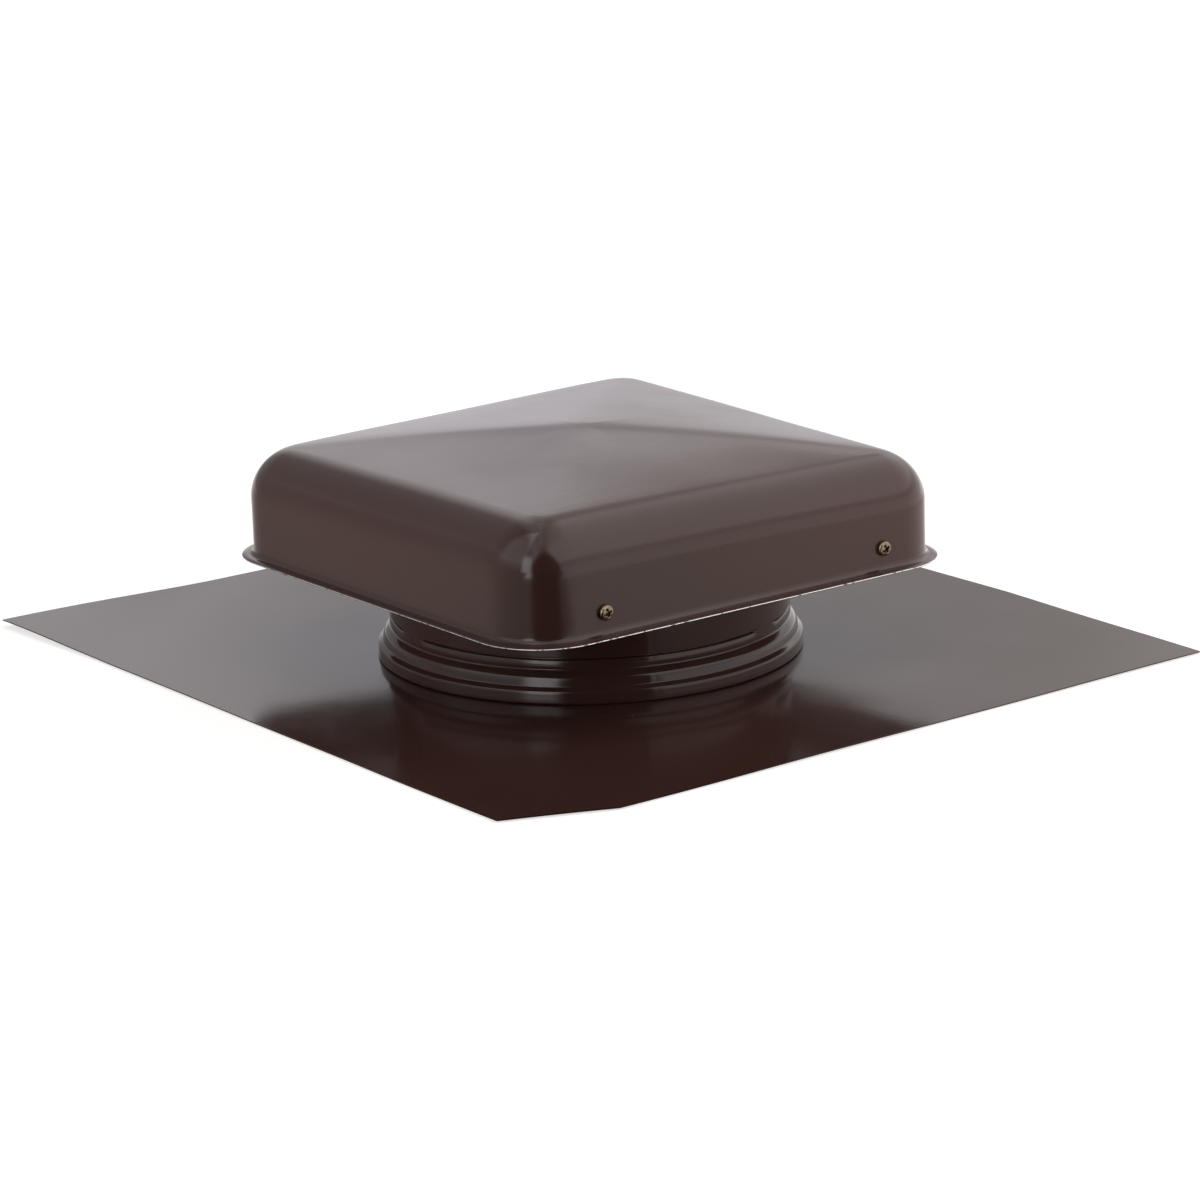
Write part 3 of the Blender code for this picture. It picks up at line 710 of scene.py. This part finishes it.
def from_vent(tree, vector):
    """How far a place or a direction lies towards the photographer and to the right, and its turn."""
    a = math.radians(CAMERA_AZIMUTH)
    front = add_node(tree, "ShaderNodeVectorMath", {"operation": "DOT_PRODUCT"},
                     {0: vector, 1: (math.sin(a), -math.cos(a), 0.0)}).outputs["Value"]
    side = add_node(tree, "ShaderNodeVectorMath", {"operation": "DOT_PRODUCT"},
                    {0: vector, 1: (math.cos(a), math.sin(a), 0.0)}).outputs["Value"]
    turn = add_node(tree, "ShaderNodeMath", {"operation": "ARCTAN2"}, {0: side, 1: front}).outputs[0]
    return front, side, turn


def build_world():
    """White studio round the vent: bright behind and to the right, dim to the left, dark at the camera."""
    world = bpy.data.worlds.new("white_studio")
    world.use_nodes = True
    tree = world.node_tree
    look = add_node(tree, "ShaderNodeTexCoord").outputs["Generated"]
    height = add_node(tree, "ShaderNodeSeparateXYZ", None, {0: look}).outputs["Z"]
    front, side, turn = from_vent(tree, look)
    # Each row: what it follows, from where to where, and the levels there
    shares = {}
    for name, value, low, high, low_level, high_level in (
            ("base", height, 0.24, 0.36, 0.96, 1.28),
            ("zenith", height, 0.80, 0.93, 1.0, 0.8),
            ("left", side, -0.40, -0.15, 0.39, 1.0),
            ("right", side, 0.12, 0.40, 1.0, 1.08),
            ("over_horizon", height, 0.12, 0.20, 0.0, 1.0),
            ("under_softbox", height, 0.295, 0.365, 1.0, 0.0),
            ("middle", side, -0.115, -0.05, 0.0, -0.28),
            ("right_of_middle", side, -0.04, 0.05, 0.0, -0.09),
            ("far_right", side, 0.10, 0.15, 0.0, 0.2),
            ("in_softbox", height, 0.30, 0.36, 0.0, 1.0),
            ("right_edge", side, 0.03, 0.10, 0.0, -0.20),
            ("near_softbox", side, 0.14, 0.30, 1.0, 0.0),
            ("not_left", side, -0.12, 0.0, 0.0, 1.0),
            ("top_edge", height, 0.376, 0.406, 0.0, -0.38),
            ("on_left", side, -0.04, 0.0, 1.0, 0.0),
            ("left_top_edge", height, 0.345, 0.38, 0.0, -0.16),
            ("over_top", height, 0.80, 0.90, 1.0, 0.0),
            ("matt_front", front, -0.1, 0.6, -0.5, 0.6),
            ("matt_above", height, 0.45, 0.80, 0.0, 0.9),
            ("front_left", turn, -1.75, -1.35, 0.0, 1.0),
            ("front_left_end", turn, -0.58, -0.38, 1.4, 0.0),
            ("front_left_up", height, -0.08, 0.40, 0.0, 1.0),
            ("window_left", turn, -0.70, -0.55, 0.0, 1.0),
            ("window_right", turn, -0.36, -0.26, 1.0, 0.0),
            ("window_foot", height, -0.20, -0.05, 0.0, 1.0),
            ("window_head", height, 0.40, 0.62, 1.0, 0.0),
            ("warm_side", side, -0.02, 0.14, 0.0, 1.0),
            ("warm_height", height, 0.08, 0.22, 0.0, 1.0)):
        shares[name] = add_node(tree, "ShaderNodeMapRange", {"interpolation_type": "SMOOTHSTEP"},
                                {"Value": value, "From Min": low, "From Max": high,
                                 "To Min": low_level, "To Max": high_level}).outputs[0]
    # Behind the vent: a duller strip above the horizon, and a softbox over it, dim at its right and
    # upper edges
    strip = add_node(tree, "ShaderNodeMath", {"operation": "MULTIPLY"},
                     {0: shares["over_horizon"], 1: shares["under_softbox"]}).outputs[0]
    dull = add_node(tree, "ShaderNodeMath", {"operation": "ADD"},
                    {0: shares["middle"], 1: shares["far_right"]}).outputs[0]
    dull = add_node(tree, "ShaderNodeMath", {"operation": "ADD"},
                    {0: dull, 1: shares["right_of_middle"]}).outputs[0]
    right_edge = add_node(tree, "ShaderNodeMath", {"operation": "MULTIPLY"},
                          {0: shares["right_edge"], 1: shares["near_softbox"]}).outputs[0]
    top_edge = shares["top_edge"]
    for share in (shares["near_softbox"], shares["over_top"]):
        top_edge = add_node(tree, "ShaderNodeMath", {"operation": "MULTIPLY"},
                            {0: top_edge, 1: share}).outputs[0]
    # To the left it is lighter towards the camera, the more so the higher
    near_left = add_node(tree, "ShaderNodeMath", {"operation": "MULTIPLY"},
                         {0: shares["front_left"], 1: shares["front_left_end"]}).outputs[0]
    level = shares["base"]
    for share in (shares["zenith"], shares["left"], shares["right"]):
        level = add_node(tree, "ShaderNodeMath", {"operation": "MULTIPLY"}, {0: level, 1: share}).outputs[0]
    for one, other in ((strip, dull), (shares["in_softbox"], right_edge), (shares["not_left"], top_edge),
                       (shares["on_left"], shares["left_top_edge"]),
                       (near_left, shares["front_left_up"])):
        change = add_node(tree, "ShaderNodeMath", {"operation": "MULTIPLY_ADD"}, {0: one, 1: other, 2: 1.0})
        level = add_node(tree, "ShaderNodeMath", {"operation": "MULTIPLY"},
                         {0: level, 1: change.outputs[0]}).outputs[0]
    # Window to the left of the camera
    window = shares["window_left"]
    for side_of_it in ("window_right", "window_foot", "window_head"):
        window = add_node(tree, "ShaderNodeMath", {"operation": "MULTIPLY"},
                          {0: window, 1: shares[side_of_it]}).outputs[0]
    level = add_node(tree, "ShaderNodeMath", {"operation": "MULTIPLY_ADD"},
                     {0: window, 1: 2.0, 2: level}).outputs[0]
    # Dark gap at the camera: as wide as 55 degrees at the floor, with a round top at 42 degrees
    across = add_node(tree, "ShaderNodeMath", {"operation": "MULTIPLY_ADD"}, {0: turn, 1: 2.15, 2: -0.344})
    above = add_node(tree, "ShaderNodeMath", {"operation": "MAXIMUM"}, {0: height, 1: 0.0})
    upward = add_node(tree, "ShaderNodeMath", {"operation": "MULTIPLY"}, {0: above.outputs[0], 1: 1.5})
    spot = add_node(tree, "ShaderNodeCombineXYZ", None, {"X": across.outputs[0], "Y": upward.outputs[0]})
    reach = add_node(tree, "ShaderNodeVectorMath", {"operation": "LENGTH"}, {0: spot.outputs[0]})
    lit_share = add_node(tree, "ShaderNodeMapRange", {"interpolation_type": "SMOOTHSTEP"},
                         {"Value": reach.outputs["Value"], "From Min": 0.86, "From Max": 1.2,
                          "To Min": 0.03, "To Max": 1.0})
    level = add_node(tree, "ShaderNodeMath", {"operation": "MULTIPLY"},
                     {0: level, 1: lit_share.outputs[0]}).outputs[0]
    # Matt surfaces get less from the front and from above than mirrors show
    path = add_node(tree, "ShaderNodeLightPath")
    matt = add_node(tree, "ShaderNodeMath", {"operation": "ADD"},
                    {0: shares["matt_front"], 1: shares["matt_above"]}).outputs[0]
    matt = add_node(tree, "ShaderNodeMath", {"operation": "MULTIPLY"},
                    {0: matt, 1: path.outputs["Is Diffuse Ray"]}).outputs[0]
    kept = add_node(tree, "ShaderNodeMath", {"operation": "SUBTRACT", "use_clamp": True}, {0: 1.0, 1: matt})
    level = add_node(tree, "ShaderNodeMath", {"operation": "MULTIPLY"},
                     {0: level, 1: kept.outputs[0]}).outputs[0]
    warm = add_node(tree, "ShaderNodeMath", {"operation": "MULTIPLY"},
                    {0: shares["warm_side"], 1: shares["warm_height"]}).outputs[0]
    tint = add_node(tree, "ShaderNodeMix", {"data_type": "RGBA"},
                    {0: warm, 6: (0.99, 0.975, 1.02, 1.0), 7: (1.02, 0.98, 0.975, 1.0)}).outputs[2]
    lit = add_node(tree, "ShaderNodeVectorMath", {"operation": "SCALE"}, {0: tint, "Scale": level}).outputs[0]
    # The camera, and what shows through glass, see plain white
    seen = add_node(tree, "ShaderNodeMath", {"operation": "MAXIMUM"},
                    {0: path.outputs["Is Camera Ray"], 1: path.outputs["Is Transmission Ray"]}).outputs[0]
    shown = add_node(tree, "ShaderNodeMix", {"data_type": "RGBA"}, {0: seen, 6: lit, 7: (1.0, 1.0, 1.0, 1.0)})
    background = tree.nodes["Background"]
    tree.links.new(shown.outputs[2], background.inputs["Color"])
    background.inputs["Strength"].default_value = 1.0
    bpy.context.scene.world = world


def pale_table():
    """Pale table top: white to the camera but for the vent's shadow, and dark in front of the vent
    to everything that mirrors it."""
    material, tree, shader = start_material("pale_table")
    place = add_node(tree, "ShaderNodeTexCoord").outputs["Object"]
    turn = from_vent(tree, place)[2]
    behind = add_node(tree, "ShaderNodeMath", {"operation": "ABSOLUTE"}, {0: turn}).outputs[0]
    away = add_node(tree, "ShaderNodeVectorMath", {"operation": "LENGTH"}, {0: place}).outputs["Value"]
    # The dark gap's right edge opens with the distance, to meet the one above the horizon
    opening = add_node(tree, "ShaderNodeMapRange", None,
                       {"Value": away, "From Min": 0.42, "From Max": 1.4, "To Max": -0.34})
    gap_turn = add_node(tree, "ShaderNodeMath", {"operation": "ADD"},
                        {0: turn, 1: opening.outputs[0]}).outputs[0]
    # Each row: what it follows, from where to where, and the levels there
    shares = {}
    for name, value, low, high, low_level, high_level in (
            ("left", turn, -1.35, -0.45, 0.42, 0.40),
            ("right_of_gap", turn, -0.20, 0.20, 0.0, -0.1),
            ("right", turn, 0.36, 0.60, 0.0, 1.0),
            ("back", behind, 2.0, 2.5, 0.0, 0.5),
            ("far", away, 0.52, 0.62, 0.0, 1.0),
            ("gap_left", turn, -0.33, -0.19, 0.0, 1.0),
            ("gap_right", gap_turn, 0.22, 0.38, 1.0, 0.0),
            ("patch_left", turn, -0.50, -0.40, 0.0, 1.0),
            ("patch_right", turn, -0.33, -0.25, 2.1, 0.0),
            ("patch_near", away, 0.52, 0.75, 0.0, 1.0),
            ("matt_left", turn, -0.88, -0.38, 3.9, -0.8),
            ("matt_far_left", turn, -1.55, -0.85, -2.6, 0.0),
            ("matt_right", turn, 0.40, 0.95, 0.0, 2.3)):
        shares[name] = add_node(tree, "ShaderNodeMapRange", {"interpolation_type": "SMOOTHSTEP"},
                                {"Value": value, "From Min": low, "From Max": high,
                                 "To Min": low_level, "To Max": high_level}).outputs[0]
    # To the right it is lighter, most of all beyond 0.6 m
    far_right = add_node(tree, "ShaderNodeMath", {"operation": "MULTIPLY_ADD"},
                         {0: shares["far"], 1: 0.30, 2: 0.48})
    level = add_node(tree, "ShaderNodeMath", {"operation": "MULTIPLY_ADD"},
                     {0: shares["right"], 1: far_right.outputs[0], 2: shares["left"]}).outputs[0]
    for name in ("back", "right_of_gap"):
        level = add_node(tree, "ShaderNodeMath", {"operation": "ADD"}, {0: level, 1: shares[name]}).outputs[0]
    # The window's light lies on it beyond half a metre, left of the camera
    patch = add_node(tree, "ShaderNodeMath", {"operation": "MULTIPLY"},
                     {0: shares["patch_left"], 1: shares["patch_right"]}).outputs[0]
    level = add_node(tree, "ShaderNodeMath", {"operation": "MULTIPLY_ADD"},
                     {0: patch, 1: shares["patch_near"], 2: level}).outputs[0]
    gap = add_node(tree, "ShaderNodeMath", {"operation": "MULTIPLY"},
                   {0: shares["gap_left"], 1: shares["gap_right"]}).outputs[0]
    lit_share = add_node(tree, "ShaderNodeMapRange", None, {"Value": gap, "To Min": 1.0, "To Max": 0.03})
    level = add_node(tree, "ShaderNodeMath", {"operation": "MULTIPLY"},
                     {0: level, 1: lit_share.outputs[0]}).outputs[0]
    shader.inputs["Base Color"].default_value = linear("e8e2de")
    shader.inputs["Roughness"].default_value = 0.9
    shader.inputs["Specular IOR Level"].default_value = 0.0
    # Matt light from the table is stronger at the sides than what a mirror at a low angle picks up, and
    # weaker in front
    path = add_node(tree, "ShaderNodeLightPath")
    matt = shares["matt_left"]
    for name in ("matt_far_left", "matt_right"):
        matt = add_node(tree, "ShaderNodeMath", {"operation": "ADD"}, {0: matt, 1: shares[name]}).outputs[0]
    boost = add_node(tree, "ShaderNodeMath", {"operation": "MULTIPLY_ADD"},
                     {0: path.outputs["Is Diffuse Ray"], 1: matt, 2: 1.0}).outputs[0]
    level = add_node(tree, "ShaderNodeMath", {"operation": "MULTIPLY"}, {0: level, 1: boost}).outputs[0]
    mirrored = add_node(tree, "ShaderNodeEmission", None, {"Color": linear("fdf8f4"), "Strength": level})
    white = add_node(tree, "ShaderNodeEmission", None, {"Color": (1.0, 1.0, 1.0, 1.0), "Strength": 0.66})
    seen = add_node(tree, "ShaderNodeAddShader", None, {0: shader.outputs[0], 1: white.outputs[0]})
    surface = add_node(tree, "ShaderNodeMixShader", None,
                       {0: path.outputs["Is Camera Ray"], 1: mirrored.outputs[0], 2: seen.outputs[0]})
    tree.links.new(surface.outputs[0], tree.nodes["Material Output"].inputs["Surface"])
    return material


def build_floor():
    """Table under the vent."""
    mesh = bmesh.new()
    bmesh.ops.create_circle(mesh, cap_ends=True, segments=64, radius=TABLE_R)
    bmesh.ops.translate(mesh, vec=(0.0, 0.0, -TABLE_DROP), verts=mesh.verts)
    data = bpy.data.meshes.new("studio_floor")
    mesh.to_mesh(data)
    mesh.free()
    floor = bpy.data.objects.new("studio_floor", data)
    bpy.context.scene.collection.objects.link(floor)
    data.materials.append(pale_table())
    return floor


def build_camera():
    """The photograph's camera."""
    a, e, r = (math.radians(v) for v in (CAMERA_AZIMUTH, CAMERA_ELEVATION, CAMERA_ROLL))
    back = Vector((math.sin(a) * math.cos(e), -math.cos(a) * math.cos(e), math.sin(e)))
    right = Vector((math.cos(a), math.sin(a), 0.0))
    up = back.cross(right)
    rolled_right = math.cos(r) * right + math.sin(r) * up
    rolled_up = math.cos(r) * up - math.sin(r) * right
    place = AXIS + CAMERA_AIM[0] * right + CAMERA_AIM[1] * up + CAMERA_DISTANCE * back
    matrix = Matrix((rolled_right, rolled_up, back)).transposed().to_4x4()
    matrix.translation = place
    data = bpy.data.cameras.new("photo_camera")
    data.lens = CAMERA_LENS
    data.sensor_width = SENSOR
    data.clip_end = 50.0
    camera = bpy.data.objects.new("photo_camera", data)
    camera.matrix_world = matrix
    bpy.context.scene.collection.objects.link(camera)
    bpy.context.scene.camera = camera
    return camera


def main():
    scene = bpy.context.scene
    scene.view_settings.view_transform = "Standard"
    enamel = brown_enamel("brown_polyester_enamel", "4a312b", "4e352f", 0.09, 0.16)
    # The flashing's enamel is darker, which is painted shade standing in for the lesser light that falls on
    # it, and a little duller from handling
    shade_darkened_handled = brown_enamel("handled_brown_enamel_with_painted_shade", "3a2620", "3d2823", 0.10, 0.15)
    steel = galvanised_steel()
    edge = sheared_steel()
    plate = yellow_zinc_plate()
    build_sheet(shade_darkened_handled)
    build_throat(enamel)
    build_hood(enamel, edge, grey_backer_coat())
    build_clamp_ring(steel)
    build_screen(steel)
    dress_straps(steel)
    for number in range(1, 5):
        build_screw(number, plate)
    for number in range(1, 9):
        build_rivet(number, steel)
    build_floor()
    build_world()
    build_camera()


main()
